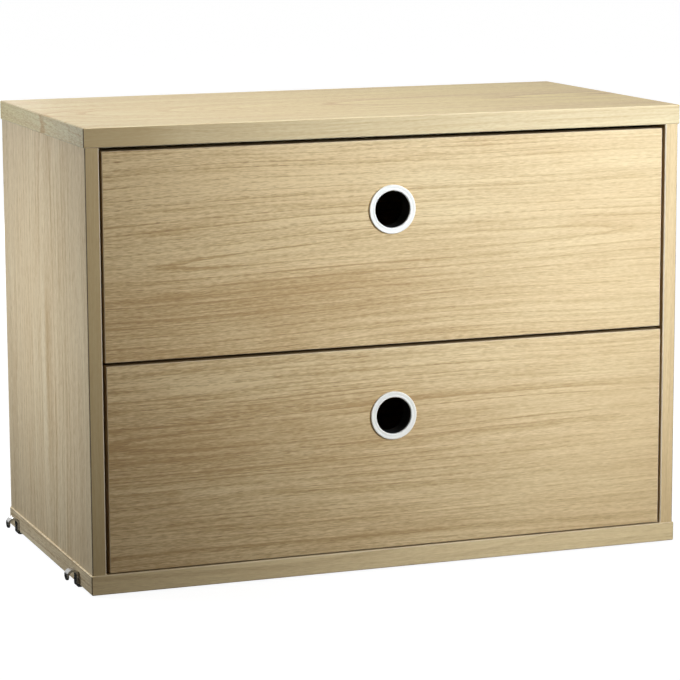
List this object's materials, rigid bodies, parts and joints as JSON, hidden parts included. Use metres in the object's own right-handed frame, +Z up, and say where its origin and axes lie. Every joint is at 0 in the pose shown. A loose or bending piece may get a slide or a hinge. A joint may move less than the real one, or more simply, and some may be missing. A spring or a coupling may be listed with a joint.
{
  "type": "drawer unit",
  "caption": "Veneered chest with stacked inset drawers on telescopic slides, round finger pulls, and bent hooks at its base that hang it on round rungs.",
  "frame": {"origin": "bottom centre of the whole unit, on the plane under the feet of its hooks", "axes": "+X along the width to the right seen from the front, -Y towards the drawer fronts, +Z up"},
  "size_m": [0.6024, 0.301, 0.422],
  "materials": {
    "oak_veneer": "matt lacquered pale oak veneer",
    "back_board": "matt veneered thin board",
    "drawer_board": "matt veneered board",
    "white_plastic": "satin",
    "black_plastic": "matt",
    "bright_chrome": "polished",
    "beech": "raw turned wood",
    "cage_steel": "rolled strip",
    "zinc_steel": "zinc plated",
    "screw_steel": "zinc plated"
  },
  "bodies": {
    "cabinet": {"back_panel": "back_board", "bottom_panel": "oak_veneer", "cabinet_dowels": "beech", "cabinet_rail_screws": "screw_steel", "cam_bolts": "screw_steel", "cam_locks": "screw_steel", "front_left_hook": "bright_chrome", "front_right_hook": "bright_chrome", "hook_screws": "screw_steel", "left_side_panel": "oak_veneer", "lower_left_cabinet_rail": "zinc_steel", "lower_right_cabinet_rail": "zinc_steel", "rear_left_hook": "bright_chrome", "rear_right_hook": "bright_chrome", "right_side_panel": "oak_veneer", "top_panel": "oak_veneer", "upper_left_cabinet_rail": "zinc_steel", "upper_right_cabinet_rail": "zinc_steel"},
    "upper_drawer": {"upper_bottom_screws": "screw_steel", "upper_box_back": "drawer_board", "upper_box_bottom": "drawer_board", "upper_box_left_side": "drawer_board", "upper_box_right_side": "drawer_board", "upper_drawer_front": "oak_veneer", "upper_drawer_rail_screws": "screw_steel", "upper_left_drawer_rail": "zinc_steel", "upper_pull_ring": "white_plastic", "upper_pull_sleeve": "black_plastic", "upper_right_drawer_rail": "zinc_steel"},
    "upper_middle_rails": {"upper_left_middle_rail": "zinc_steel", "upper_right_middle_rail": "zinc_steel"},
    "upper_outer_cages": {"upper_left_outer_cage": "cage_steel", "upper_right_outer_cage": "cage_steel"},
    "upper_inner_cages": {"upper_left_inner_cage": "cage_steel", "upper_right_inner_cage": "cage_steel"},
    "lower_drawer": {"lower_bottom_screws": "screw_steel", "lower_box_back": "drawer_board", "lower_box_bottom": "drawer_board", "lower_box_left_side": "drawer_board", "lower_box_right_side": "drawer_board", "lower_drawer_front": "oak_veneer", "lower_drawer_rail_screws": "screw_steel", "lower_left_drawer_rail": "zinc_steel", "lower_pull_ring": "white_plastic", "lower_pull_sleeve": "black_plastic", "lower_right_drawer_rail": "zinc_steel"},
    "lower_middle_rails": {"lower_left_middle_rail": "zinc_steel", "lower_right_middle_rail": "zinc_steel"},
    "lower_outer_cages": {"lower_left_outer_cage": "cage_steel", "lower_right_outer_cage": "cage_steel"},
    "lower_inner_cages": {"lower_left_inner_cage": "cage_steel", "lower_right_inner_cage": "cage_steel"}
  },
  "joints": [
    {"name": "upper_drawer_slide", "type": "slide", "parent": "cabinet", "child": "upper_drawer", "axis": [0, -1, 0], "range_m": [0, 0.25]},
    {"name": "upper_middle_rails_slide", "type": "slide", "parent": "cabinet", "child": "upper_middle_rails", "axis": [0, -1, 0], "range_m": [0, 0.125]},
    {"name": "upper_outer_cages_slide", "type": "slide", "parent": "cabinet", "child": "upper_outer_cages", "axis": [0, -1, 0], "range_m": [0, 0.0625]},
    {"name": "upper_inner_cages_slide", "type": "slide", "parent": "cabinet", "child": "upper_inner_cages", "axis": [0, -1, 0], "range_m": [0, 0.1875]},
    {"name": "lower_drawer_slide", "type": "slide", "parent": "cabinet", "child": "lower_drawer", "axis": [0, -1, 0], "range_m": [0, 0.25]},
    {"name": "lower_middle_rails_slide", "type": "slide", "parent": "cabinet", "child": "lower_middle_rails", "axis": [0, -1, 0], "range_m": [0, 0.125]},
    {"name": "lower_outer_cages_slide", "type": "slide", "parent": "cabinet", "child": "lower_outer_cages", "axis": [0, -1, 0], "range_m": [0, 0.0625]},
    {"name": "lower_inner_cages_slide", "type": "slide", "parent": "cabinet", "child": "lower_inner_cages", "axis": [0, -1, 0], "range_m": [0, 0.1875]}
  ],
  "couplings": [
    {"joint": "upper_middle_rails_slide", "follows": "upper_drawer_slide", "ratio": 0.5},
    {"joint": "upper_outer_cages_slide", "follows": "upper_drawer_slide", "ratio": 0.25},
    {"joint": "upper_inner_cages_slide", "follows": "upper_drawer_slide", "ratio": 0.75},
    {"joint": "lower_middle_rails_slide", "follows": "lower_drawer_slide", "ratio": 0.5},
    {"joint": "lower_outer_cages_slide", "follows": "lower_drawer_slide", "ratio": 0.25},
    {"joint": "lower_inner_cages_slide", "follows": "lower_drawer_slide", "ratio": 0.75}
  ]
}
